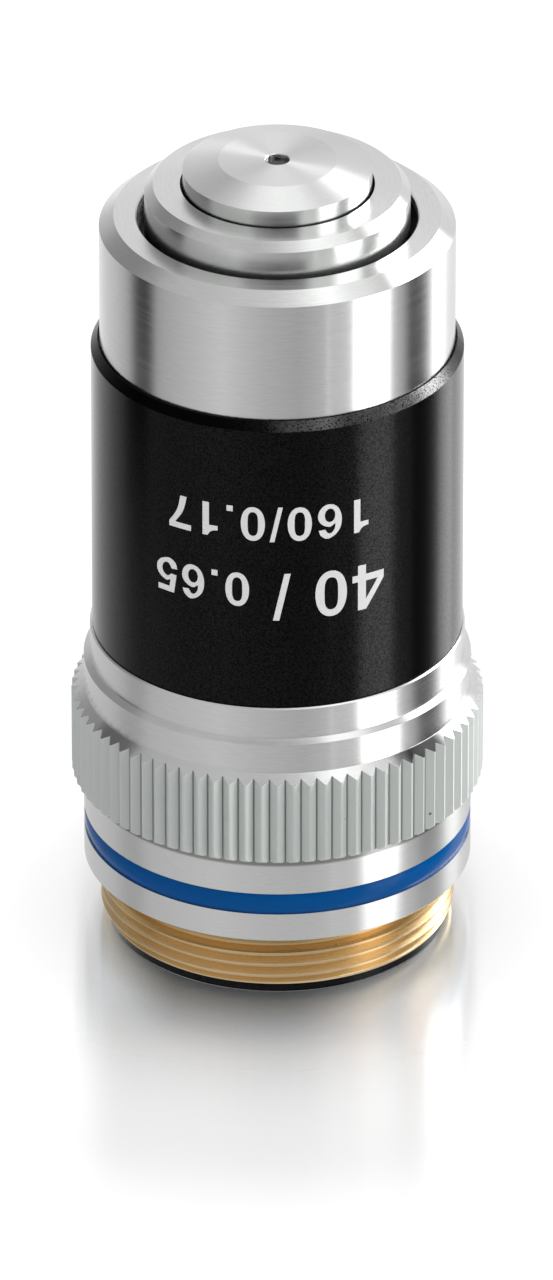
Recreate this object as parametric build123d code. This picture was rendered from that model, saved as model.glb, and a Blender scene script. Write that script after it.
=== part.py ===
from build123d import *
import os
from math import cos, radians, sin, sqrt

# Microscope objective with a sprung nose. Millimetres, turned about Z, nose up, rear end at z = 0.

# Clearances and small edges
slip = 0.02             # radial, between pieces screwed or glued together
run = 0.05              # radial, where the nose slides
spring_room = 0.30      # radial, from the sliding nose to the spring seat
edge = 0.08             # break on turned edges

# Rear ring and mounting thread
ring_t = 0.70           # thickness of the black rear ring
ring_inset = 0.53       # rear ring below the thread crests
ring_spigot_len = 2.00
ring_wall = 0.90
thread_major_d = 20.274
thread_len = 3.50       # rear ring to shoulder
thread_lead = 0.30      # lead-in chamfer, radial
thread_lead_len = 0.45
relief_len = 0.90       # plain groove between thread and shoulder
relief_depth = 0.537
mouth_gap = 0.15        # shoulder recess round the thread

# Mount tube above the thread
stop_len = 3.00         # shoulder to the step that the collar sits on
stop_step = 0.40
joint_len = 6.50        # length screwed into the black sleeve

# Knurled collar
shoulder_w = 0.953      # lower band above the thread
band_len = 5.45
groove_up = 1.78        # shoulder to the colour groove
groove_w = 1.33
groove_depth = 0.50
enamel_crown = 0.14     # rise of the enamel at the middle of the groove
knurl_rise = 0.69
knurl_len = 5.04
knurl_teeth = 80
knurl_depth = 0.40
knurl_land = 0.10       # flat left on each tooth
knurl_foot = 0.20       # bevel at the lower end of the teeth
knurl_top = 0.50        # height of the cone above the teeth
step_drop = 0.02        # upper step below the lower band
step_len = 1.82
ledge_len = 0.22        # sloping ledge between the two steps
neck_len = 1.94
neck_step = 0.13        # upper step above the black sleeve

# Black sleeve
barrel_len = 18.20
barrel_wall = 1.35
barrel_bevel_len = 0.51
barrel_land = 0.05
seat_gap = 0.08         # dark line round the foot of the front sleeve
seat_depth = 0.50

# Front sleeve
front_len = 7.81
front_step = 0.50       # below the black sleeve
front_bevel_w = 0.82
front_bevel_len = 0.67
front_lip_t = 1.60      # lip that stops the nose
spigot_len = 5.00
spigot_wall = 0.60

# Sliding nose
travel = 2.50
nose_proud = 1.92       # nose above the front sleeve
nose_gap = 0.435        # ring gap round the nose
nose_bevel = 0.49
nose_wall = 1.00
nose_lip_t = 1.00
nose_lip_w = 0.70
head_step = 0.31        # head above the guided tube
flange_lap = 0.605      # flange behind the front lip
flange_t = 1.80
guide_overlap = 5.00    # tube inside the mount tube
pin_d = 1.20
pin_up = 2.30           # pin above the rear end of the nose
pin_end_room = 0.30
slot_depth = 1.30
slot_room = 0.40        # slot below the pin at full travel

# Return spring
wire_d = 0.70
wire_sides = 8
spring_turns = 5.5
turn_steps = 24         # straight lengths in each turn
seat_t = 0.60

# Front cell and front lens
disc_gap = 0.146        # dark line round the front disc
disc_edge_len = 0.97
disc_rise = 0.56
disc_bevel_w = 2.014
hole_d = 1.336
hole_break = 0.05       # edge broken round the opening
window_t = 0.25         # wall left in front of the lens
cell_flange_t = 2.20
front_lens_d = 3.00
front_lens_edge = 0.80
front_curve_ratio = 1.067  # sphere radius over lens radius
retainer_step = 0.50    # retainer beyond the lens edge
retainer_lap = 0.40     # retainer over the lens
retainer_t = 1.40
cone_wall = 2.75        # wall left at the open end of the front cell

# Lens cells behind the front cell
front_spacer_t = 0.60
middle_spacer_t = 2.50
spacer_wall = 1.35
cell_lip_t = 0.40
cell_tail = 0.60        # cell behind its retainer
flint_t = 1.00
crown_edge = 0.62
cement = 0.02
middle_fill_ratio = 0.571  # lens radius over cell radius
middle_front_ratio = 1.57  # sphere radius over lens radius, cemented face
middle_back_ratio = 2.14   # the same, rear face
rear_fill_ratio = 0.6845
rear_front_ratio = 1.90
rear_back_ratio = 2.62
stop_t = 0.50
stop_d = 5.20
lock_t = 1.80
lock_wall = 1.55
spanner_w = 1.00
spanner_depth = 0.60

# Heights up the outside
shoulder_z = ring_t + thread_len
knurl_z = shoulder_z + band_len
knurl_end_z = knurl_z + knurl_len
step_z = knurl_end_z + knurl_top
ledge_z = step_z + step_len
neck_z = ledge_z + ledge_len
barrel_z = neck_z + neck_len
barrel_end_z = barrel_z + barrel_len
front_end_z = barrel_end_z + front_len
nose_end_z = front_end_z + nose_proud
disc_edge_z = nose_end_z + disc_edge_len
disc_end_z = disc_edge_z + disc_rise

# Heights inside
stop_z = shoulder_z + stop_len
body_end_z = barrel_z + joint_len
seat_z = barrel_end_z - seat_depth
spring_z = body_end_z + seat_t
flange_end_z = front_end_z - front_lip_t
flange_z = flange_end_z - flange_t
nose_z = body_end_z - guide_overlap
pin_z = nose_z + pin_up
cell_end_z = nose_end_z - nose_lip_t
cell_z = cell_end_z - cell_flange_t

# Radii from the thread inwards
thread_r = thread_major_d / 2
relief_r = thread_r - relief_depth
body_r = relief_r - stop_step
sleeve_bore_r = body_r - spigot_wall
flange_r = sleeve_bore_r - run
front_lip_r = flange_r - flange_lap
nose_r = front_lip_r - nose_gap
tube_r = nose_r - head_step
guide_r = tube_r + run
nose_bore_r = tube_r - nose_wall
cell_r = nose_bore_r - slip
disc_hole_r = nose_bore_r - nose_lip_w
disc_r = disc_hole_r - disc_gap

# Radii from the thread outwards
band_r = thread_r + shoulder_w
knurl_r = band_r + knurl_rise
step_r = band_r - step_drop
barrel_r = body_r + slip + barrel_wall
neck_r = barrel_r + neck_step
front_r = barrel_r - front_step


def turned(*outline):
    """A turned piece from the (radius, height) corners of its half section."""
    section = make_face(Polyline(*[(r, 0, z) for r, z in outline], close=True))
    return revolve(section, Axis.Z)


def tube(inner_r, outer_r, low_z, high_z):
    """A plain turned ring with its outer edges broken."""
    return turned(
        (inner_r, low_z),
        (outer_r - edge, low_z),
        (outer_r, low_z + edge),
        (outer_r, high_z - edge),
        (outer_r - edge, high_z),
        (inner_r, high_z),
    )


def ball(radius, centre_z):
    return Pos(0, 0, centre_z) * Sphere(radius)


def disc(radius, low_z, high_z):
    return Pos(0, 0, low_z) * extrude(Circle(radius), high_z - low_z)


def sag(curve_r, lens_r):
    """Height of a spherical cap of curve_r over a lens of lens_r."""
    return curve_r - sqrt(curve_r**2 - lens_r**2)


def rear_ring():
    spigot_r = guide_r - slip
    flange = thread_r - ring_inset
    return turned(
        (spigot_r - ring_wall, 0),
        (flange - edge, 0),
        (flange, edge),
        (flange, ring_t),
        (spigot_r, ring_t),
        (spigot_r, ring_t + ring_spigot_len),
        (spigot_r - ring_wall, ring_t + ring_spigot_len),
    )


def mount_tube():
    thread_end_z = shoulder_z - relief_len
    blank = turned(
        (guide_r, ring_t),
        (thread_r - thread_lead, ring_t),
        (thread_r, ring_t + thread_lead_len),
        (thread_r, thread_end_z),
        (relief_r, thread_end_z + relief_depth),
        (relief_r, stop_z),
        (body_r, stop_z),
        (body_r, body_end_z - edge),
        (body_r - edge, body_end_z),
        (guide_r, body_end_z),
    )
    # Open-ended slot for the guide pin
    slot_z = pin_z - travel - pin_d / 2 - slot_room
    slot_len = body_end_z - slot_z
    slot_w = pin_d + 2 * run
    slot = Box(guide_r + slot_depth, slot_w, slot_len, align=(Align.MIN, Align.CENTER, Align.MIN))
    return blank - Pos(0, 0, slot_z) * slot


def knurl_gaps():
    """The V grooves between the teeth, full length of the knurl."""
    pitch = 360 / knurl_teeth
    land = knurl_land / knurl_r / 2
    root_r = knurl_r - knurl_depth
    tip_r = knurl_r + edge
    flare = (tip_r - root_r) / knurl_depth
    half_gap = (radians(pitch / 2) - land) * flare
    groove = make_face(
        Polyline(
            (root_r, 0),
            (tip_r * cos(half_gap), tip_r * sin(half_gap)),
            (tip_r * cos(half_gap), -tip_r * sin(half_gap)),
            close=True,
        )
    )
    gap = Pos(0, 0, knurl_z) * extrude(groove, knurl_len + knurl_top)
    return [Rot(0, 0, (tooth + 0.5) * pitch) * gap for tooth in range(knurl_teeth)]


def knurled_collar():
    groove_z = shoulder_z + groove_up
    groove_r = band_r - groove_depth
    mouth_r = thread_r + mouth_gap
    lower_bore_r = relief_r + slip
    blank = turned(
        (mouth_r, shoulder_z),
        (band_r - edge, shoulder_z),
        (band_r, shoulder_z + edge),
        (band_r, groove_z),
        (groove_r, groove_z),
        (groove_r, groove_z + groove_w),
        (band_r, groove_z + groove_w),
        (band_r, knurl_z),
        (knurl_r - knurl_foot, knurl_z),
        (knurl_r, knurl_z + knurl_foot),
        (knurl_r, knurl_end_z),
        (step_r, step_z),
        (step_r, ledge_z),
        (neck_r, neck_z),
        (neck_r, barrel_z - edge),
        (neck_r - edge, barrel_z),
        (body_r + slip, barrel_z),
        (body_r + slip, stop_z),
        (lower_bore_r, stop_z),
        (lower_bore_r, shoulder_z + mouth_r - lower_bore_r),
    )
    return blank - knurl_gaps()


def colour_ring():
    low_z = shoulder_z + groove_up
    high_z = low_z + groove_w
    floor_r = band_r - groove_depth + slip
    rim_r = band_r - enamel_crown
    crown = ThreePointArc((rim_r, 0, low_z), (band_r, 0, (low_z + high_z) / 2), (rim_r, 0, high_z))
    back = Polyline((rim_r, 0, high_z), (floor_r, 0, high_z), (floor_r, 0, low_z), (rim_r, 0, low_z))
    return revolve(make_face(crown + back), Axis.Z)


def barrel_sleeve():
    bore_r = body_r + slip
    seat_r = front_r + seat_gap
    return turned(
        (bore_r, barrel_z),
        (barrel_r - edge, barrel_z),
        (barrel_r, barrel_z + edge),
        (barrel_r, barrel_end_z - barrel_bevel_len),
        (seat_r + barrel_land, barrel_end_z),
        (seat_r, barrel_end_z),
        (seat_r, seat_z),
        (bore_r, seat_z),
    )


def front_sleeve():
    spigot_z = seat_z - spigot_len
    return turned(
        (sleeve_bore_r, spigot_z),
        (body_r - edge, spigot_z),
        (body_r, spigot_z + edge),
        (body_r, seat_z),
        (front_r, seat_z),
        (front_r, front_end_z - front_bevel_len),
        (front_r - front_bevel_w, front_end_z),
        (front_lip_r + edge, front_end_z),
        (front_lip_r, front_end_z - edge),
        (front_lip_r, flange_end_z),
        (sleeve_bore_r, flange_end_z),
    )


def spring_seat():
    return tube(tube_r + spring_room, body_r, body_end_z, spring_z)


def return_spring():
    """A coil with both ends ground flat, its wire in short straight lengths."""
    coil_r = (tube_r + sleeve_bore_r) / 2
    ground_off = wire_d / 4
    rest_len = flange_z - spring_z
    coil_len = rest_len + 2 * ground_off
    steps = round(spring_turns * turn_steps)
    turn = Polyline(
        *[
            (coil_r * cos(angle), coil_r * sin(angle), coil_len * step / steps)
            for step in range(steps + 1)
            for angle in [radians(360 * step / turn_steps)]
        ]
    )
    start = Plane(origin=turn @ 0, z_dir=turn % 0)
    wire = start * RegularPolygon(wire_d / 2, wire_sides)
    coil = sweep(wire, path=turn, transition=Transition.RIGHT)
    kept = disc(coil_r + wire_d, ground_off, ground_off + rest_len)
    return Pos(0, 0, spring_z - ground_off) * (coil & kept)


def nose_barrel():
    blank = turned(
        (nose_bore_r, nose_z),
        (tube_r - edge, nose_z),
        (tube_r, nose_z + edge),
        (tube_r, flange_z),
        (flange_r, flange_z),
        (flange_r, flange_end_z),
        (nose_r, flange_end_z),
        (nose_r, nose_end_z - nose_bevel),
        (nose_r - nose_bevel, nose_end_z),
        (disc_hole_r, nose_end_z),
        (disc_hole_r, cell_end_z),
        (nose_bore_r, cell_end_z),
    )
    return blank - pin_rod(0, tube_r + run, pin_d / 2 + slip)


def pin_rod(inner_r, outer_r, radius):
    """A round rod lying along X at the height of the guide pin."""
    return Pos(inner_r, 0, pin_z) * extrude(Plane.YZ * Circle(radius), outer_r - inner_r)


def guide_pin():
    return pin_rod(nose_bore_r, guide_r + slot_depth - pin_end_room, pin_d / 2)


# Front lens and its pocket
front_lens_r = front_lens_d / 2
window_z = disc_end_z - window_t
lens_edge_z = window_z - front_lens_edge
front_sphere_r = front_curve_ratio * front_lens_r
front_sphere_z = lens_edge_z - sag(front_sphere_r, front_lens_r) + front_sphere_r
retainer_r = front_lens_r + retainer_step
retainer_z = lens_edge_z - retainer_t


def front_cell():
    hole_r = hole_d / 2
    return turned(
        (cell_r - cone_wall, cell_z),
        (cell_r, cell_z),
        (cell_r, cell_end_z),
        (disc_r, cell_end_z),
        (disc_r, disc_edge_z),
        (disc_r - disc_bevel_w, disc_end_z),
        (hole_r + hole_break, disc_end_z),
        (hole_r, disc_end_z - hole_break),
        (hole_r, window_z),
        (front_lens_r + slip, window_z),
        (front_lens_r + slip, lens_edge_z),
        (retainer_r + slip, lens_edge_z),
        (retainer_r + slip, retainer_z),
    )


def front_lens():
    """A plane front face and a deep sphere behind it."""
    lowest_z = front_sphere_z - front_sphere_r
    rim = disc(front_lens_r, lens_edge_z, window_z)
    cap = disc(front_lens_r, lowest_z, lens_edge_z) & ball(front_sphere_r, front_sphere_z)
    return rim + cap


def front_retainer():
    ring = disc(retainer_r, retainer_z, lens_edge_z)
    ring -= disc(front_lens_r - retainer_lap, retainer_z, lens_edge_z)
    return ring - ball(front_sphere_r + slip, front_sphere_z)


class Doublet:
    """A cemented pair in its cell, from the height of the cell's front face."""

    def __init__(self, front_z, fill_ratio, front_ratio, back_ratio):
        self.front_z = front_z
        self.lens_r = fill_ratio * cell_r
        self.front_sphere_r = front_ratio * self.lens_r
        self.back_sphere_r = back_ratio * self.lens_r
        front_sag = sag(self.front_sphere_r, self.lens_r)
        self.glass_z = front_z - cell_lip_t
        self.flint_edge_z = self.glass_z - flint_t - front_sag
        self.edge_z = self.flint_edge_z - cement - crown_edge
        self.back_z = self.edge_z - sag(self.back_sphere_r, self.lens_r)
        self.retainer_r = self.lens_r + retainer_step
        self.retainer_z = self.edge_z - retainer_t
        self.end_z = min(self.retainer_z, self.back_z) - cell_tail

    def back_ball(self, room):
        return ball(self.back_sphere_r + room, self.back_z + self.back_sphere_r)

    def front_ball(self, room):
        return ball(self.front_sphere_r, self.glass_z - flint_t - self.front_sphere_r - room)

    def flint(self):
        return disc(self.lens_r, self.flint_edge_z, self.glass_z) - self.front_ball(0)

    def crown(self):
        blank = disc(self.lens_r, self.back_z, self.glass_z - flint_t)
        return blank & self.front_ball(cement) & self.back_ball(0)

    def cell(self):
        clear_r = self.lens_r - retainer_lap
        return turned(
            (clear_r, self.front_z),
            (cell_r, self.front_z),
            (cell_r, self.end_z),
            (self.retainer_r + slip, self.end_z),
            (self.retainer_r + slip, self.edge_z),
            (self.lens_r + slip, self.edge_z),
            (self.lens_r + slip, self.glass_z),
            (clear_r, self.glass_z),
        )

    def retainer(self):
        ring = disc(self.retainer_r, self.retainer_z, self.edge_z)
        ring -= disc(self.lens_r - retainer_lap, self.retainer_z, self.edge_z)
        return ring - self.back_ball(slip)


# The stack of cells, from the front cell towards the rear
middle = Doublet(cell_z - front_spacer_t, middle_fill_ratio, middle_front_ratio, middle_back_ratio)
rear = Doublet(middle.end_z - middle_spacer_t, rear_fill_ratio, rear_front_ratio, rear_back_ratio)
stop_plate_z = rear.end_z - stop_t
lock_z = stop_plate_z - lock_t


def lens_lock_ring():
    """Clamps the stack, with two spanner slots in its rear face."""
    ring = tube(cell_r - lock_wall, cell_r, lock_z, stop_plate_z)
    return ring - Pos(0, 0, lock_z) * Box(2 * cell_r, spanner_w, 2 * spanner_depth)


pieces = {
    "rear_ring": rear_ring(),
    "mount_tube": mount_tube(),
    "knurled_collar": knurled_collar(),
    "colour_ring": colour_ring(),
    "barrel_sleeve": barrel_sleeve(),
    "front_sleeve": front_sleeve(),
    "spring_seat": spring_seat(),
    "return_spring": return_spring(),
    "nose_barrel": nose_barrel(),
    "guide_pin": guide_pin(),
    "front_cell": front_cell(),
    "front_lens": front_lens(),
    "front_retainer": front_retainer(),
    "front_spacer": tube(cell_r - spacer_wall, cell_r, middle.front_z, cell_z),
    "middle_cell": middle.cell(),
    "middle_flint": middle.flint(),
    "middle_crown": middle.crown(),
    "middle_retainer": middle.retainer(),
    "middle_spacer": tube(cell_r - spacer_wall, cell_r, rear.front_z, middle.end_z),
    "rear_cell": rear.cell(),
    "rear_flint": rear.flint(),
    "rear_crown": rear.crown(),
    "rear_retainer": rear.retainer(),
    "aperture_stop": disc(cell_r, stop_plate_z, rear.end_z) - disc(stop_d / 2, stop_plate_z, rear.end_z),
    "lens_lock_ring": lens_lock_ring(),
}

os.makedirs("parts", exist_ok=True)
for name, piece in pieces.items():
    export_step(piece, f"parts/{name}.step")
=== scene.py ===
from collections import namedtuple
from math import cos, floor, pi, radians, sin

import bmesh
import bpy
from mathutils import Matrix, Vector


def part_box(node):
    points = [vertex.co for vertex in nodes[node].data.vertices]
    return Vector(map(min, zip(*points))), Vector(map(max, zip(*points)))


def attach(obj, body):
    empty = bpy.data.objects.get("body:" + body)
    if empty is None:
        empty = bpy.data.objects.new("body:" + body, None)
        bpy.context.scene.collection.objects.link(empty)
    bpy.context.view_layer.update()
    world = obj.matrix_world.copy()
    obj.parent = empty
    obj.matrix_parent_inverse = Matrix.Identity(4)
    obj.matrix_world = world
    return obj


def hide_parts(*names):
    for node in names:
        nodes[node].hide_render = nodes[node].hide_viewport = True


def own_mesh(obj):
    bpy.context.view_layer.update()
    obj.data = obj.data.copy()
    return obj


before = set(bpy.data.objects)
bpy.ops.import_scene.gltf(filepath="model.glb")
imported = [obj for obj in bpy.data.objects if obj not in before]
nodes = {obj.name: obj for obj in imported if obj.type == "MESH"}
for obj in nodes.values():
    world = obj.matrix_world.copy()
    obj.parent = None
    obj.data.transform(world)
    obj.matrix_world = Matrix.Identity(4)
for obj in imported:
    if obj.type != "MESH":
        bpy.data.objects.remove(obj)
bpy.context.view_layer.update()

# Microscope objective with a sprung nose, nose up, front towards -Y. Metres, sizes below in millimetres.

scene = bpy.context.scene
scene.view_settings.view_transform = "Standard"
MM = 0.001
SHARP_ANGLE = radians(30)
WELD = 0.0005                 # points closer than this are one

# Camera, in degrees and metres, with its lens and film in millimetres
CAMERA_ELEVATION = 29.07
CAMERA_DISTANCE = 0.9864
CAMERA_TARGET = Vector((-0.00005, 0, 0.017688))
CAMERA_REACH = 10
CAMERA_LENS = 485.8
FILM_WIDTH = 36

# Light tent, one band above the other: strength by azimuth in degrees, from the front towards the right
BELOW = [
    (-180, 0.96), (-168, 0.94), (-156, 0.80), (-144, 0.67), (-128, 0.58), (-112, 0.40), (-104, 0.05),
    (-94, 0.01), (-90, 0.06), (-84, 0.38), (-36, 0.66), (-10, 0.50), (14, 0.42), (31, 0.52), (33, 0.80),
    (35, 0.58), (49, 0.62), (56, 3.00), (73, 3.00), (79, 0.66), (90, 0.40), (95, 0.06), (108, 0.06),
    (115, 0.32), (123, 1.80), (135, 1.80), (141, 0.88), (180, 0.86),
]
LEVEL = [
    (-180, 0.83), (-170, 0.75), (-160, 0.62), (-151, 0.54), (-141, 0.44), (-128, 0.40), (-104, 0.25),
    (-90, 0.30), (-78, 0.50), (-36, 0.60), (-24, 0.40), (0, 0.30), (22, 0.35), (33, 0.70), (50, 0.80),
    (55, 2.20), (73, 2.20), (79, 0.65), (99, 0.50), (106, 2.50), (132, 2.50), (138, 0.80), (151, 0.78),
    (180, 0.83),
]
RAISED = [
    (-180, 0.80), (-170, 0.74), (-160, 0.60), (-150, 0.34), (-137, 0.28), (-117, 0.24), (-108, 0.28),
    (-98, 0.20), (-92, 0.25), (-84, 0.46), (-36, 0.54), (-24, 0.24), (0, 0.05), (22, 0.08), (32, 0.75),
    (48, 0.76), (54, 1.90), (74, 1.90), (80, 0.52), (99, 0.52), (105, 7.00), (138, 7.00), (145, 0.62),
    (156, 0.92), (163, 0.76), (180, 0.80),
]
HIGH = [
    (-180, 0.95), (-170, 0.80), (-160, 0.46), (-140, 0.36), (-128, 0.25), (-118, 0.28), (-99, 0.46),
    (-80, 0.55), (-36, 0.55), (-15, 0.28), (0, 0.12), (20, 0.25), (32, 0.90), (50, 1.10), (56, 1.50),
    (68, 1.10), (80, 0.70), (99, 0.66), (106, 4.50), (119, 4.50), (127, 1.10), (150, 1.00), (155, 1.70),
    (161, 1.70), (166, 0.86), (180, 0.95),
]
STEEP = [
    (-180, 1.65), (-166, 1.65), (-161, 1.10), (-158, 0.54), (-140, 0.48), (-108, 0.45), (-95, 0.54),
    (-60, 0.60), (-27, 0.52), (-10, 0.58), (0, 0.68), (27, 1.02), (45, 1.25), (58, 1.25), (70, 0.82),
    (80, 1.00), (95, 0.86), (105, 0.62), (150, 0.68), (160, 0.75), (166, 1.05), (173, 1.65), (180, 1.65),
]
CEILING = [
    (-180, 1.80), (-150, 0.80), (-100, 0.48), (-64, 0.65), (-36, 0.76), (0, 0.92), (36, 1.20), (64, 1.35),
    (95, 1.40), (130, 1.10), (160, 1.20), (180, 1.80),
]
ZENITH = [(-180, 0.46), (0, 0.46), (180, 0.46)]
# Each band with the sines of the elevations between which it takes over from the one below
TENT = [
    (LEVEL, -0.12, 0.05),
    (RAISED, 0.20, 0.36),
    (HIGH, 0.56, 0.66),
    (STEEP, 0.74, 0.80),
    (CEILING, 0.88, 0.94),
    (ZENITH, 0.965, 0.985),
]
RAMP_TOP = 8.0                # strength at the top of a ramp's scale

# Floor; each pair is where an effect starts and where it is full
FLOOR_REACH = 3000.0
COAT_HEIGHT = 0.01
GLOW_RISE, GLOW_FALL = (10.0, 13.0), (13.0, 30.0)      # distance from the axis
MIRROR_FADE = (8.0, 41.0)
SHADE_REACH = (18.0, 9.2)                              # contact shade in front of the foot
SHADE_DEPTH = (0.0, -6.0)
SHADE_RIGHT, SHADE_LEFT = (0.0, 9.0), (-5.5, -10.5)    # where it ends to the sides
BRASS_REACH = (17.5, 11.5)                             # where the brass is mirrored
BRASS_DEPTH = (2.0, -2.0)
BRASS_WIDTH = (10.6, 9.6)
PATCH_CENTRE = (-18.0 * MM, 0, 0)
PATCH_REACH = (30.0, 62.0)
SHADE_TINT = (0.28, 0.315, 0.355, 1)
COOL_TINT = (0.76, 0.86, 0.99, 1)
PURE_WHITE = (1, 1, 1, 1)

# Where the finishes change on the object: radii, heights and sines of a face's tilt, in pairs as above
CONE_EDGE, CONE_TILT = (11.06, 11.10), (0.6, 0.75)
KNURL_EDGE, KNURL_TILT = (11.15, 11.25), (0.4, 0.2)
# radii over which the painted shade in the knurl's grooves fades out
KNURL_DEPTH = (11.38, 11.46)
DISC_SIDE, DISC_TILT = (47.9, 48.1), (0.88, 0.95)
# the gap round the nose and the slit under the disc, where shade is painted near black
GAP_FOOT, GAP_TOP, GAP_WALL = (42.0, 43.0), (44.75, 44.45), (8.8, 8.6)
SLIT_TOP, SLIT_WALL = (47.08, 47.02), (6.4, 6.2)
# the band just under the knurl, where a line of shade is painted
LINE_FOOT, LINE_TOP, LINE_WALL = (9.04, 9.24), (9.68, 9.64), (11.2, 11.1)
BEVEL_FOOT = (36.84, 36.88)
# heights over which the brass darkens into painted shade under the shoulder
UPPER_SHADE_RISE = (2.4, 3.1)

# Dark patches on the cone above the knurl: degrees from the front, reach, shade of the metal there
CONE_R, CONE_Z = 11.42, 14.94
CONE_PATCHES = [(-54, 2.6, 0.40), (47, 3.2, 0.03)]
# Painted sheen on the lit right of the black sleeve's bevel, speckled like rubbed metal, in the same terms
BEVEL_R, BEVEL_Z = 10.35, 37.12
RUBBED_SHEEN = [(34, 9.5, 0.05), (9, 2.6, 0.16), (53, 3.6, 0.19)]
SPOT_CORE, SPECK_CORE = 0.3, 0.6      # shares of a spot's and a speck's reach that are full

# Textures, per metre unless said otherwise
LINES = 6000.0
DASH = (16, 24000, 24000)     # per radian round the axis and per metre across it
# noise for the ragged edges of the dark patches on the cone
PATCH_NOISE = 2500.0
GRAIN = 10000.0
ENAMEL_WAVES = 900.0
PAINT_GRAIN = 4000.0
NOISE_SPAN = (0.3, 0.7)       # the noise values that matter
GRAIN_SPAN = (0.35, 0.65)
# grain values over which the bevel's painted sheen is speckled
SHEEN_SPECK_SPAN = (0.3, 0.55)
# noise values and share that give the cone's dark patches their ragged edges
PATCH_EDGE_SPAN, RAGGED_SHARE = (0.5, 0.9), 0.7
DASH_SHADE = 0.9              # darkest of the dashes, as a share of the metal's colour

# Mount tube, in its solid's sizes
THREAD_R = 10.137
RELIEF_R = 9.60
BODY_R = 9.20
BORE_R = 7.25
BORE_EDGE = 0.08
TUBE_FOOT = 0.70
LEAD_R, LEAD_TOP = 9.837, 1.15        # lead-in cone
RUNOUT_FOOT, RUNOUT_TOP = 3.30, 3.84
STOP_TOP = 7.20
TUBE_TOP = 25.67
SLOT_FOOT, SLOT_FLOOR = 19.47, 8.55   # guide slot on the right, open at the top
SLOT_TURN, SLOT_HALF_ANGLE = 90, 4.6

# Thread on the mount tube
THREAD_PITCH = 0.7056
THREAD_DEPTH = 0.45
THREAD_FRONT_CREST = 1.45             # height of a crest at the front
THREAD_CREST, THREAD_ROOT = 0.1, 0.2  # shares of the pitch left flat at crest and root
TUBE_COLUMNS = 480
TURN_ROWS = 20

# Return spring
SPRING_R = 7.90
WIRE_R = 0.35
SPRING_TURNS = 5.5
TURN_STEPS = 48
WIRE_SIDES = 12

# Numbers on the black sleeve, read from the nose end
DIGIT_ADVANCE = 0.783                 # all glyph sizes are shares of the digit height
NARROW_ADVANCE = 0.392
NARROW_GLYPHS = "/. "
GLYPH_WELD = 0.0001
SMALL_DIGIT, SMALL_GAP = 2.11, 0.085  # digit height, added space between glyphs
LARGE_DIGIT, LARGE_GAP = 2.86, 0.015
UPPER_LINE, UPPER_START = 32.03, -5.56    # height of the base line, arc from the front
LOWER_LINE, LOWER_START = 27.76, -6.455
PAINT_PROUD = 0.010
PAINT_SUNK = 0.004
GLYPH_STRIP = 0.20                    # width of the strips that follow the curve

# Outlines of the numerals: each loop has corners (c) and smooth points (r), in shares of the digit height
GLYPHS = {
    "0": [
        [(0.39, 1.01, "r"), (0.065, 0.50, "r"), (0.39, -0.01, "r"), (0.715, 0.50, "r")],
        [(0.39, 0.86, "r"), (0.53, 0.50, "r"), (0.39, 0.14, "r"), (0.25, 0.50, "r")],
    ],
    "1": [
        [(0.53, 0.0, "c"), (0.53, 1.0, "c"), (0.39, 1.0, "c"), (0.28, 0.865, "r"), (0.10, 0.815, "c"),
         (0.10, 0.685, "c"), (0.345, 0.685, "c"), (0.345, 0.0, "c")],
    ],
    "4": [
        [(0.44, 0.0, "c"), (0.615, 0.0, "c"), (0.615, 0.215, "c"), (0.735, 0.215, "c"), (0.735, 0.365, "c"),
         (0.615, 0.365, "c"), (0.615, 1.0, "c"), (0.435, 1.0, "c"), (0.03, 0.385, "c"), (0.03, 0.215, "c"),
         (0.44, 0.215, "c")],
        [(0.44, 0.365, "c"), (0.17, 0.365, "c"), (0.44, 0.775, "c")],
    ],
    "5": [
        [(0.155, 1.0, "c"), (0.075, 0.455, "c"), (0.235, 0.44, "c"), (0.38, 0.53, "r"), (0.535, 0.33, "r"),
         (0.375, 0.125, "r"), (0.225, 0.28, "c"), (0.045, 0.265, "c"), (0.13, 0.06, "r"),
         (0.375, -0.015, "r"), (0.72, 0.335, "r"), (0.42, 0.67, "r"), (0.265, 0.625, "c"),
         (0.30, 0.835, "c"), (0.67, 0.835, "c"), (0.67, 1.0, "c")],
    ],
    "6": [
        [(0.525, 0.74, "c"), (0.41, 0.87, "r"), (0.275, 0.77, "r"), (0.235, 0.575, "c"), (0.43, 0.665, "r"),
         (0.72, 0.33, "r"), (0.395, -0.015, "r"), (0.06, 0.48, "r"), (0.41, 1.015, "r"), (0.63, 0.925, "r"),
         (0.705, 0.755, "c")],
        [(0.39, 0.525, "r"), (0.535, 0.325, "r"), (0.39, 0.12, "r"), (0.245, 0.325, "r")],
    ],
    "7": [
        [(0.05, 1.0, "c"), (0.05, 0.83, "c"), (0.535, 0.83, "c"), (0.295, 0.45, "r"), (0.175, 0.0, "c"),
         (0.37, 0.0, "c"), (0.475, 0.44, "r"), (0.725, 0.85, "c"), (0.725, 1.0, "c")],
    ],
    "/": [[(0.02, -0.02, "c"), (0.145, -0.02, "c"), (0.372, 1.03, "c"), (0.247, 1.03, "c")]],
    ".": [[(0.11, 0.0, "c"), (0.28, 0.0, "c"), (0.28, 0.17, "c"), (0.11, 0.17, "c")]],
    " ": [],
}
HANDLE = {"c": "VECTOR", "r": "AUTO"}


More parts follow.
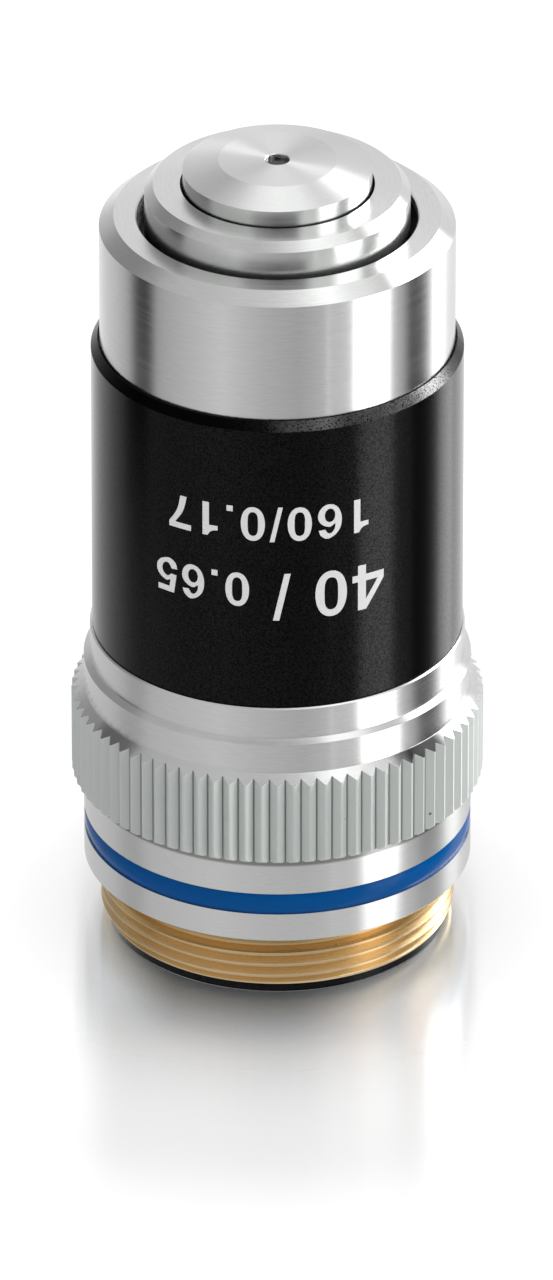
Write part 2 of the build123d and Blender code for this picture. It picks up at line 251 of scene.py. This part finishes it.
class Graph:
    """Adds linked nodes to a material's or world's node tree."""

    def __init__(self, owner):
        owner.use_nodes = True
        self.tree = owner.node_tree
        self.tree.nodes.clear()

    def add(self, kind, settings=None, **inputs):
        """Adds a node; an input is named by its socket, with _ for a space, or by i and its index."""
        node = self.tree.nodes.new(kind)
        for name, value in (settings or {}).items():
            setattr(node, name, value)
        for name, value in inputs.items():
            key = int(name[1:]) if name[0] == "i" and name[1:].isdigit() else name.replace("_", " ")
            self.put(node.inputs[key], value)
        return node

    def put(self, socket, value):
        if isinstance(value, bpy.types.NodeSocket):
            self.tree.links.new(value, socket)
        else:
            socket.default_value = value

    def math(self, operation, *values, clamp=False):
        inputs = {f"i{n}": value for n, value in enumerate(values)}
        return self.add("ShaderNodeMath", {"operation": operation, "use_clamp": clamp}, **inputs).outputs[0]

    def product(self, result, *others):
        for value in others:
            result = self.math("MULTIPLY", result, value)
        return result

    def smooth(self, value, low, high, to_low=0.0, to_high=1.0):
        """Eases from to_low at low to to_high at high."""
        node = self.add(
            "ShaderNodeMapRange",
            {"interpolation_type": "SMOOTHSTEP"},
            Value=value, From_Min=low, From_Max=high, To_Min=to_low, To_Max=to_high,
        )
        return node.outputs["Result"]

    def over(self, value, span, to_low=0.0, to_high=1.0):
        """Eases over a span of millimetres."""
        return self.smooth(value, span[0] * MM, span[1] * MM, to_low, to_high)

    def mix(self, factor, first, second):
        return self.add("ShaderNodeMix", i0=factor, i2=first, i3=second).outputs[0]

    def blend(self, factor, first, second):
        """Mixes two colours."""
        return self.add("ShaderNodeMix", {"data_type": "RGBA"}, i0=factor, i6=first, i7=second).outputs[2]

    def vector(self, operation, *values):
        inputs = {f"i{n}": value for n, value in enumerate(values)}
        return self.add("ShaderNodeVectorMath", {"operation": operation}, **inputs).outputs

    def split(self, value):
        return self.add("ShaderNodeSeparateXYZ", Vector=value).outputs

    def join(self, **parts):
        return self.add("ShaderNodeCombineXYZ", **parts).outputs[0]

    def noise(self, place, scale, detail):
        return self.add("ShaderNodeTexNoise", Vector=place, Scale=scale, Detail=detail).outputs[0]

    def bump(self, height, depth):
        """Normal of a face whose texture is depth millimetres high."""
        return self.add("ShaderNodeBump", Strength=1.0, Distance=depth * MM, Height=height).outputs[0]

    def place(self):
        return self.add("ShaderNodeTexCoord").outputs["Object"]

    def round_axis(self):
        """Direction of the turned lines."""
        return self.add("ShaderNodeTangent", {"direction_type": "RADIAL", "axis": "Z"}).outputs[0]

    def spot(self, place, centre, reach):
        """1 within the core of a round spot, 0 from its reach on."""
        distance = self.vector("DISTANCE", place, centre)["Value"]
        return self.over(distance, (reach, SPOT_CORE * reach))

    def ramp(self, factor, stops):
        node = self.add("ShaderNodeValToRGB", Fac=factor)
        elements = node.color_ramp.elements
        for stop in stops[2:]:
            elements.new(stop[0])
        for element, (place, level) in zip(elements, stops):
            element.position = place
            element.color = grey(level)
        return node.outputs["Color"]

    def finish(self, shader):
        self.add("ShaderNodeOutputMaterial", Surface=shader.outputs[0])


def grey(level):
    return (level, level, level, 1)


def surface(name):
    material = bpy.data.materials.new(name)
    return material, Graph(material)


def wall_ramp(graph, azimuth, wall):
    """Strength of the tent's wall at an azimuth given as a share of the full turn."""
    stops = [((angle + 180) / 360, strength / RAMP_TOP) for angle, strength in wall]
    return graph.math("MULTIPLY", graph.ramp(azimuth, stops), RAMP_TOP)


def light_tent():
    world = bpy.data.worlds.new("light_tent")
    scene.world = world
    graph = Graph(world)
    x, y, z = graph.split(graph.add("ShaderNodeTexCoord").outputs["Generated"])
    turn = graph.math("ARCTAN2", x, graph.math("MULTIPLY", y, -1.0))
    azimuth = graph.math("MULTIPLY_ADD", turn, 0.5 / pi, 0.5)
    strength = wall_ramp(graph, azimuth, BELOW)
    for wall, start, full in TENT:
        strength = graph.mix(graph.smooth(z, start, full), strength, wall_ramp(graph, azimuth, wall))
    # The floor mirrors plain white: its rays have come up through its clear coat
    rays = graph.add("ShaderNodeLightPath").outputs
    from_floor = graph.math("MULTIPLY", graph.math("GREATER_THAN", z, 0.0), rays["Transparent Depth"])
    first = graph.math("LESS_THAN", graph.math("SUBTRACT", rays["Glossy Depth"], rays["Is Glossy Ray"]), 0.5)
    strength = graph.mix(graph.math("MULTIPLY", from_floor, first, clamp=True), strength, 1.0)
    sky = graph.add("ShaderNodeBackground", Color=PURE_WHITE, Strength=strength)
    graph.add("ShaderNodeOutputWorld", Surface=sky.outputs[0])


def camera():
    data = bpy.data.cameras.new("camera")
    data.lens = CAMERA_LENS
    data.sensor_width = FILM_WIDTH
    data.clip_end = CAMERA_REACH
    eye = bpy.data.objects.new("camera", data)
    scene.collection.objects.link(eye)
    tilt = radians(CAMERA_ELEVATION)
    back = Vector((0, -cos(tilt), sin(tilt)))
    eye.location = CAMERA_TARGET + CAMERA_DISTANCE * back
    eye.rotation_euler = (-back).to_track_quat("-Z", "Y").to_euler()
    scene.camera = eye


def stage_sheet(name, height, material):
    bm = bmesh.new()
    bmesh.ops.create_grid(bm, x_segments=1, y_segments=1, size=FLOOR_REACH * MM)
    mesh = bpy.data.meshes.new(name)
    bm.to_mesh(mesh)
    bm.free()
    mesh.materials.append(material)
    sheet = bpy.data.objects.new(name, mesh)
    scene.collection.objects.link(sheet)
    sheet.location.z = height * MM


def mirror_tint(graph, x, y, distance, beside):
    """Colour of the floor's mirror and the share of the foot's surroundings that shows the brass."""
    shade = graph.product(
        graph.over(y, SHADE_DEPTH), graph.over(distance, SHADE_REACH), graph.math("SUBTRACT", 1.0, beside)
    )
    brassy = graph.product(
        graph.over(distance, BRASS_REACH),
        graph.over(y, BRASS_DEPTH),
        graph.over(graph.math("ABSOLUTE", x), BRASS_WIDTH),
    )
    return graph.blend(shade, graph.blend(brassy, PURE_WHITE, COOL_TINT), SHADE_TINT), brassy


def white_floor():
    """White paper that mirrors the object near the foot, under a clear coat."""
    material, graph = surface("white_floor")
    place = graph.add("ShaderNodeNewGeometry").outputs["Position"]
    axes = graph.split(place)
    x, y = axes["X"], axes["Y"]
    distance = graph.vector("LENGTH", place)["Value"]
    rays = graph.add("ShaderNodeLightPath").outputs
    seen_direct = graph.math("MAXIMUM", rays["Is Camera Ray"], rays["Is Transmission Ray"])
    glow = graph.over(distance, GLOW_RISE, to_low=0.30, to_high=1.00)
    glow = graph.math("SUBTRACT", glow, graph.over(distance, GLOW_FALL, to_high=0.78))
    paper = graph.add(
        "ShaderNodeBsdfPrincipled",
        Base_Color=grey(0.92),
        Roughness=0.6,
        Emission_Color=PURE_WHITE,
        Emission_Strength=graph.math("MULTIPLY", glow, seen_direct),
    )
    beside = graph.math("ADD", graph.over(x, SHADE_RIGHT), graph.over(x, SHADE_LEFT))
    tint, brassy = mirror_tint(graph, x, y, distance, beside)
    sideways = graph.join(X=1.0)
    gloss = graph.add(
        "ShaderNodeBsdfAnisotropic", Color=tint, Roughness=0.25, Anisotropy=0.82, Tangent=sideways
    )
    share = graph.over(distance, MIRROR_FADE, to_low=0.97, to_high=0.0)
    share = graph.math("MULTIPLY", share, graph.mix(graph.math("MULTIPLY", brassy, beside), 1.0, 0.86))
    sheet = graph.add("ShaderNodeMixShader", i0=share, i1=paper.outputs[0], i2=gloss.outputs[0])
    # In the metal the floor lets the tent's lower wall through, apart from a pale patch round the foot
    from_patch = graph.vector("DISTANCE", place, PATCH_CENTRE)["Value"]
    patch = graph.over(from_patch, PATCH_REACH, to_low=0.7, to_high=0.0)
    clear = graph.add("ShaderNodeBsdfTransparent")
    pale = graph.add("ShaderNodeEmission", Color=PURE_WHITE, Strength=0.58)
    seen = graph.add("ShaderNodeMixShader", i0=patch, i1=clear.outputs[0], i2=pale.outputs[0])
    graph.finish(
        graph.add("ShaderNodeMixShader", i0=rays["Is Glossy Ray"], i1=sheet.outputs[0], i2=seen.outputs[0])
    )
    stage_sheet("floor", 0.0, material)
    coat, graph = surface("clear_coat")
    graph.finish(graph.add("ShaderNodeBsdfTransparent"))
    stage_sheet("floor_coat", COAT_HEIGHT, coat)


Turning = namedtuple("Turning", "place radius height lines dashes")


def turning(graph):
    """Turned lines round the axis: fine rings, short dashes, and the radius and height they run at."""
    place = graph.place()
    x, y, height = graph.split(place)
    radius = graph.vector("LENGTH", graph.join(X=x, Y=y))["Value"]
    angle = graph.math("ARCTAN2", x, graph.math("MULTIPLY", y, -1.0))
    lines = graph.add(
        "ShaderNodeTexNoise",
        {"noise_dimensions": "2D"},
        Vector=graph.join(X=radius, Y=height), Scale=LINES, Detail=4.0, Roughness=0.6,
    )
    across = graph.vector("MULTIPLY", graph.join(X=angle, Y=radius, Z=height), DASH)
    dashes = graph.add("ShaderNodeTexNoise", Vector=across[0], Scale=1.0, Detail=2.0, Roughness=0.6)
    return Turning(place, radius, height, lines.outputs[0], dashes.outputs[0])


def ring_point(radius, turn, height):
    """Point on a ring of the object, turned by degrees from the front; the sizes are in millimetres."""
    return (radius * sin(radians(turn)) * MM, -radius * cos(radians(turn)) * MM, height * MM)


def specks(graph, place, scale, size, rarity):
    """Small scattered spots: cells per metre, size as a share of a cell, share of the cells left clean."""
    cells = graph.add("ShaderNodeTexVoronoi", Vector=place, Scale=scale).outputs
    near = graph.smooth(cells["Distance"], size, SPECK_CORE * size)
    chosen = graph.math("GREATER_THAN", graph.split(cells["Color"])["X"], rarity)
    return graph.math("MULTIPLY", near, chosen)


def turned_metal(name, colour, roughness, anisotropy, line_depth, upper_shade=None):
    """A turned metal; the last argument, if given, is its colour further up, painted shade under the
    shoulder above the thread.
    """
    material, graph = surface(name)
    turned = turning(graph)
    dark = tuple(DASH_SHADE * part for part in colour)
    shade = graph.blend(graph.smooth(turned.dashes, *NOISE_SPAN), (*dark, 1), (*colour, 1))
    # Painted shade: darker towards the top, under the shoulder
    if upper_shade:
        shade = graph.blend(graph.over(turned.height, UPPER_SHADE_RISE), shade, (*upper_shade, 1))
    shader = graph.add(
        "ShaderNodeBsdfPrincipled",
        Base_Color=shade,
        Metallic=1.0,
        Roughness=graph.smooth(turned.lines, *NOISE_SPAN, *roughness),
        Anisotropic=anisotropy,
        Anisotropic_Rotation=0.25,
        Tangent=graph.round_axis(),
        Normal=graph.bump(turned.lines, depth=line_depth),
    )
    graph.finish(shader)
    return material


def knurl_colour(graph, turned, on_knurl, colour):
    """Dull pale crests, painted shade in the grooves and a little dirt."""
    # Painted shade: darker towards the bottom of the grooves
    depth = graph.over(turned.radius, KNURL_DEPTH)
    knurl = graph.blend(depth, (0.25, 0.27, 0.26, 1), (0.74, 0.77, 0.75, 1))
    colour = graph.blend(on_knurl, colour, knurl)
    dirt = specks(graph, turned.place, scale=450.0, size=0.050, rarity=0.60)
    return graph.blend(graph.math("MULTIPLY", on_knurl, dirt), colour, (0.22, 0.22, 0.21, 1))


def gap_shade_colour(graph, turned, colour):
    """Painted shade in the gap round the nose, in the slit under the disc and in a line under the knurl."""
    radius, height = turned.radius, turned.height
    in_gap = graph.product(
        graph.over(height, GAP_TOP), graph.over(height, GAP_FOOT), graph.over(radius, GAP_WALL)
    )
    in_slit = graph.product(graph.over(height, SLIT_TOP), graph.over(radius, SLIT_WALL))
    # Painted shade, near black, in the gap round the nose and in the slit under the disc
    colour = graph.blend(graph.math("MAXIMUM", in_gap, in_slit), colour, grey(0.02))
    # A line of painted shade on the band just under the knurl
    under_knurl = graph.product(
        graph.over(height, LINE_FOOT), graph.over(height, LINE_TOP), graph.over(radius, LINE_WALL)
    )
    return graph.blend(under_knurl, colour, (0.33, 0.33, 0.32, 1))


def dark_patch_colour(graph, turned, on_cone, colour):
    """Dark patches with ragged edges on the cone above the knurl."""
    ragged_noise = graph.noise(turned.place, PATCH_NOISE, detail=3.0)
    for turn, reach, shade in CONE_PATCHES:
        near = graph.spot(turned.place, ring_point(CONE_R, turn, CONE_Z), reach)
        ragged = graph.math("MULTIPLY_ADD", ragged_noise, RAGGED_SHARE, near)
        patchy = graph.smooth(ragged, *PATCH_EDGE_SPAN)
        colour = graph.blend(graph.product(patchy, near, on_cone), colour, grey(shade))
    return colour


def bright_aluminium():
    """Turned bright, with a duller front disc and a matt knurl."""
    material, graph = surface("bright_aluminium")
    turned = turning(graph)
    up = graph.split(graph.add("ShaderNodeNewGeometry").outputs["Normal"])["Z"]
    on_cone = graph.product(graph.over(turned.radius, CONE_EDGE), graph.smooth(up, *CONE_TILT))
    on_disc = graph.product(graph.over(turned.height, DISC_SIDE), graph.smooth(up, *DISC_TILT))
    on_knurl = graph.product(graph.over(turned.radius, KNURL_EDGE), graph.smooth(up, *KNURL_TILT))
    rough = graph.smooth(turned.lines, *NOISE_SPAN, to_low=0.17, to_high=0.20)
    rough = graph.mix(on_disc, rough, 0.29)
    colour = graph.blend(
        graph.smooth(turned.dashes, *NOISE_SPAN), (0.775, 0.785, 0.775, 1), (0.825, 0.835, 0.825, 1)
    )
    colour = knurl_colour(graph, turned, on_knurl, colour)
    colour = gap_shade_colour(graph, turned, colour)
    colour = dark_patch_colour(graph, turned, on_cone, colour)
    shader = graph.add(
        "ShaderNodeBsdfPrincipled",
        Base_Color=colour,
        Metallic=graph.mix(on_knurl, 1.0, 0.3),
        Roughness=graph.mix(on_knurl, rough, 0.6),
        Anisotropic=0.95,
        Anisotropic_Rotation=0.25,
        Tangent=graph.round_axis(),
        Normal=graph.bump(turned.lines, depth=0.0003),
    )
    graph.finish(shader)
    return material


def black_anodised():
    """Satin black with a fine grain, a little dust, and a painted sheen on the lit right of the bevel,
    speckled like rubbed metal.
    """
    material, graph = surface("black_anodised")
    place = graph.place()
    grain = graph.noise(place, GRAIN, detail=2.0)
    on_bevel = graph.over(graph.split(place)["Z"], BEVEL_FOOT)
    colour = graph.blend(
        graph.smooth(grain, *GRAIN_SPAN), (0.0022, 0.0022, 0.0023, 1), (0.0116, 0.0116, 0.0120, 1)
    )
    colour = graph.blend(on_bevel, colour, grey(0.002))
    # Painted sheen on the lit right of the bevel, speckled like rubbed metal
    for turn, reach, shade in RUBBED_SHEEN:
        near = graph.spot(place, ring_point(BEVEL_R, turn, BEVEL_Z), reach)
        rubbed_sheen = graph.product(near, on_bevel, graph.smooth(grain, *SHEEN_SPECK_SPAN))
        colour = graph.blend(rubbed_sheen, colour, grey(shade))
    dust = specks(graph, place, scale=300.0, size=0.016, rarity=0.75)
    colour = graph.blend(dust, colour, grey(0.5))
    shader = graph.add(
        "ShaderNodeBsdfPrincipled",
        Base_Color=colour,
        Metallic=1.0,
        Roughness=graph.mix(on_bevel, graph.smooth(grain, *NOISE_SPAN, to_low=0.18, to_high=0.23), 0.27),
        Coat_Weight=graph.mix(on_bevel, graph.smooth(grain, *GRAIN_SPAN, to_low=0.6), 0.15),
        Coat_Roughness=0.14,
        Coat_IOR=1.19,
        Anisotropic=0.85,
        Anisotropic_Rotation=0.25,
        Tangent=graph.round_axis(),
        Normal=graph.bump(grain, depth=0.0014),
    )
    graph.finish(shader)
    return material


def blue_enamel():
    material, graph = surface("blue_enamel")
    shader = graph.add(
        "ShaderNodeBsdfPrincipled",
        Base_Color=(0.0, 0.090, 0.33, 1),
        Roughness=0.07,
        IOR=1.18,
        Normal=graph.bump(graph.noise(graph.place(), ENAMEL_WAVES, detail=2.0), depth=0.004),
    )
    graph.finish(shader)
    return material


def white_paint():
    material, graph = surface("white_paint")
    shader = graph.add(
        "ShaderNodeBsdfPrincipled",
        Base_Color=(0.90, 0.90, 0.89, 1),
        Roughness=0.55,
        Normal=graph.bump(graph.noise(graph.place(), PAINT_GRAIN, detail=2.0), depth=0.002),
    )
    graph.finish(shader)
    return material


def optical_glass():
    material, graph = surface("optical_glass")
    shader = graph.add(
        "ShaderNodeBsdfPrincipled",
        Base_Color=(0.95, 0.98, 0.96, 1),
        Roughness=0.02,
        IOR=1.52,
        Transmission_Weight=1.0,
    )
    graph.finish(shader)
    return material


FINISH = {
    "bright_aluminium": bright_aluminium(),
    "mount_brass": turned_metal(
        "mount_brass", (0.85, 0.64, 0.37), roughness=(0.24, 0.28), anisotropy=0.7, line_depth=0.0010,
        # painted shade under the shoulder, towards the top of the brass
        upper_shade=(0.74, 0.52, 0.26),
    ),
    "blackened_brass": turned_metal(
        "blackened_brass", (0.035, 0.030, 0.026), roughness=(0.40, 0.44), anisotropy=0.6, line_depth=0.0010
    ),
    "spring_steel": turned_metal(
        "spring_steel", (0.56, 0.56, 0.55), roughness=(0.26, 0.30), anisotropy=0.4, line_depth=0.0006
    ),
    "black_anodised": black_anodised(),
    "blue_enamel": blue_enamel(),
    "white_paint": white_paint(),
    "optical_glass": optical_glass(),
}


def dress_solids():
    """Gives each solid the finish of its own material slot."""
    for node in nodes.values():
        slot = node.material_slots[0].material.name.split(".")[0]
        node.material_slots[0].material = FINISH[slot]


def add_piece(name, bm, body, slot):
    """Turns a bmesh into a piece of the object."""
    bmesh.ops.recalc_face_normals(bm, faces=bm.faces)
    mesh = bpy.data.meshes.new(name)
    bm.to_mesh(mesh)
    bm.free()
    mesh.shade_smooth()
    mesh.set_sharp_from_angle(angle=SHARP_ANGLE)
    mesh.materials.append(FINISH[slot])
    piece = bpy.data.objects.new(name, mesh)
    scene.collection.objects.link(piece)
    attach(piece, body)
    return piece


def thread_radius(height, turn):
    """Outer radius of the threaded length; turn is the share of a full turn from the front."""
    phase = (height - THREAD_FRONT_CREST) / THREAD_PITCH - turn
    from_crest = 2 * abs(phase - round(phase))
    fall = min(max((from_crest - THREAD_CREST) / (1 - THREAD_CREST - THREAD_ROOT), 0), 1)
    lead = LEAD_R + (THREAD_R - LEAD_R) * (height - TUBE_FOOT) / (LEAD_TOP - TUBE_FOOT)
    runout = THREAD_R - (THREAD_R - RELIEF_R) * (height - RUNOUT_FOOT) / (RUNOUT_TOP - RUNOUT_FOOT)
    return min(THREAD_R - THREAD_DEPTH * fall, lead, runout)


def tube_column(turn):
    """Radius and height of the points round one section of the mount tube, from the foot of the thread."""
    first_row = (TUBE_FOOT - THREAD_FRONT_CREST) / THREAD_PITCH - 1
    last_row = (RUNOUT_TOP - THREAD_FRONT_CREST) / THREAD_PITCH
    rows = range(floor(first_row * TURN_ROWS), floor(last_row * TURN_ROWS) + 2)
    heights = [THREAD_FRONT_CREST + THREAD_PITCH * (row / TURN_ROWS + turn) for row in rows]
    heights = [min(max(height, TUBE_FOOT), RUNOUT_TOP) for height in heights]
    points = [(thread_radius(height, turn), height) for height in heights]
    from_slot = turn * 360 - SLOT_TURN
    in_slot = abs(from_slot) < SLOT_HALF_ANGLE
    wall_r = SLOT_FLOOR / cos(radians(from_slot)) if in_slot else BORE_R
    points += [
        (RELIEF_R, STOP_TOP),
        (BODY_R, STOP_TOP),
        (BODY_R, TUBE_TOP - BORE_EDGE),
        (BODY_R - BORE_EDGE, TUBE_TOP),
        (wall_r, TUBE_TOP),
        (wall_r, SLOT_FOOT),
        (BORE_R, SLOT_FOOT),
        (BORE_R, TUBE_FOOT),
    ]
    return points


def threaded_tube():
    """The mount tube with its thread cut; the rows of points climb with the thread."""
    bm = bmesh.new()
    columns = []
    for step in range(TUBE_COLUMNS + 1):
        turn = step / TUBE_COLUMNS
        angle = 2 * pi * turn - pi / 2
        points = [(r * cos(angle) * MM, r * sin(angle) * MM, z * MM) for r, z in tube_column(turn)]
        columns.append([bm.verts.new(point) for point in points])
    for left, right in zip(columns, columns[1:]):
        for row in range(len(left)):
            bm.faces.new((left[row - 1], right[row - 1], right[row], left[row]))
    bmesh.ops.remove_doubles(bm, verts=bm.verts, dist=WELD * MM)
    piece = add_piece("threaded_mount_tube", bm, "housing", "mount_brass")
    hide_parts("mount_tube")


def return_spring():
    """Round wire, with the ends of the coil ground flat."""
    foot, top = (corner.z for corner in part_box("return_spring"))
    ground = WIRE_R * MM / 2
    rise = top - foot + 2 * ground
    steps = round(SPRING_TURNS * TURN_STEPS)
    bm = bmesh.new()
    rings = []
    for step in range(steps + 1):
        angle = 2 * pi * step / TURN_STEPS
        ring = []
        for side in range(WIRE_SIDES):
            around = 2 * pi * side / WIRE_SIDES
            r = (SPRING_R + WIRE_R * cos(around)) * MM
            z = foot - ground + rise * step / steps + WIRE_R * MM * sin(around)
            ring.append(bm.verts.new((r * cos(angle), r * sin(angle), min(max(z, foot), top))))
        rings.append(ring)
    for back, front in zip(rings, rings[1:]):
        for side in range(WIRE_SIDES):
            bm.faces.new((back[side - 1], back[side], front[side], front[side - 1]))
    bm.faces.new(rings[0])
    bm.faces.new(reversed(rings[-1]))
    bmesh.ops.remove_doubles(bm, verts=bm.verts, dist=WELD * MM)
    piece = add_piece("coil_spring", bm, "housing", "spring_steel")
    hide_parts("return_spring")
    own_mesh(piece)


def glyph_curve(glyph):
    """A flat filled curve of one numeral, one digit height tall."""
    curve = bpy.data.curves.new("glyph", "CURVE")
    curve.dimensions = "2D"
    curve.fill_mode = "BOTH"
    curve.extrude = 0.5
    for loop in GLYPHS[glyph]:
        spline = curve.splines.new("BEZIER")
        spline.bezier_points.add(len(loop) - 1)
        spline.use_cyclic_u = True
        for point, (x, y, kind) in zip(spline.bezier_points, loop):
            point.co = (x, y, 0)
            point.handle_left_type = HANDLE[kind]
            point.handle_right_type = HANDLE[kind]
    return curve


def print_glyph(bm, glyph, size, start, base_line, sleeve_r):
    """Adds one numeral to bm, bent round the sleeve with its top towards the rear end."""
    curve = glyph_curve(glyph)
    holder = bpy.data.objects.new("glyph", curve)
    scene.collection.objects.link(holder)
    bpy.context.view_layer.update()
    flat = bpy.data.meshes.new_from_object(holder.evaluated_get(bpy.context.evaluated_depsgraph_get()))
    bpy.data.objects.remove(holder)
    bpy.data.curves.remove(curve)
    strips = bmesh.new()
    strips.from_mesh(flat)
    bpy.data.meshes.remove(flat)
    bmesh.ops.remove_doubles(strips, verts=strips.verts, dist=GLYPH_WELD)
    width = GLYPH_STRIP / size
    for cut in range(-1, round(1 / width)):
        bmesh.ops.bisect_plane(
            strips, geom=strips.verts[:] + strips.edges[:] + strips.faces[:],
            plane_co=(cut * width, 0, 0), plane_no=(1, 0, 0),
        )
    for vert in strips.verts:
        x, y, outside = vert.co.x * size, vert.co.y * size, vert.co.z > 0
        angle = -(start + x) / sleeve_r - pi / 2
        r = sleeve_r + (PAINT_PROUD if outside else -PAINT_SUNK)
        vert.co = Vector((r * cos(angle), r * sin(angle), base_line - y)) * MM
    made = bpy.data.meshes.new("glyph")
    strips.to_mesh(made)
    strips.free()
    bm.from_mesh(made)
    bpy.data.meshes.remove(made)


def number_line(name, base_line, start, *runs):
    """One line of print; each run is a text, its digit height and the space added between glyphs."""
    sleeve_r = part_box("barrel_sleeve")[1].x / MM
    bm = bmesh.new()
    for text, size, gap in runs:
        for glyph in text:
            if GLYPHS[glyph]:
                print_glyph(bm, glyph, size, start, base_line, sleeve_r)
            start += gap + size * (NARROW_ADVANCE if glyph in NARROW_GLYPHS else DIGIT_ADVANCE)
    add_piece(name, bm, "housing", "white_paint")


camera()
light_tent()
white_floor()
dress_solids()
threaded_tube()
return_spring()
number_line("upper_numbers", UPPER_LINE, UPPER_START, ("160/0.17", SMALL_DIGIT, SMALL_GAP))
number_line(
    "lower_numbers", LOWER_LINE, LOWER_START,
    ("40 / ", LARGE_DIGIT, LARGE_GAP), ("0.65", SMALL_DIGIT, SMALL_GAP),
)
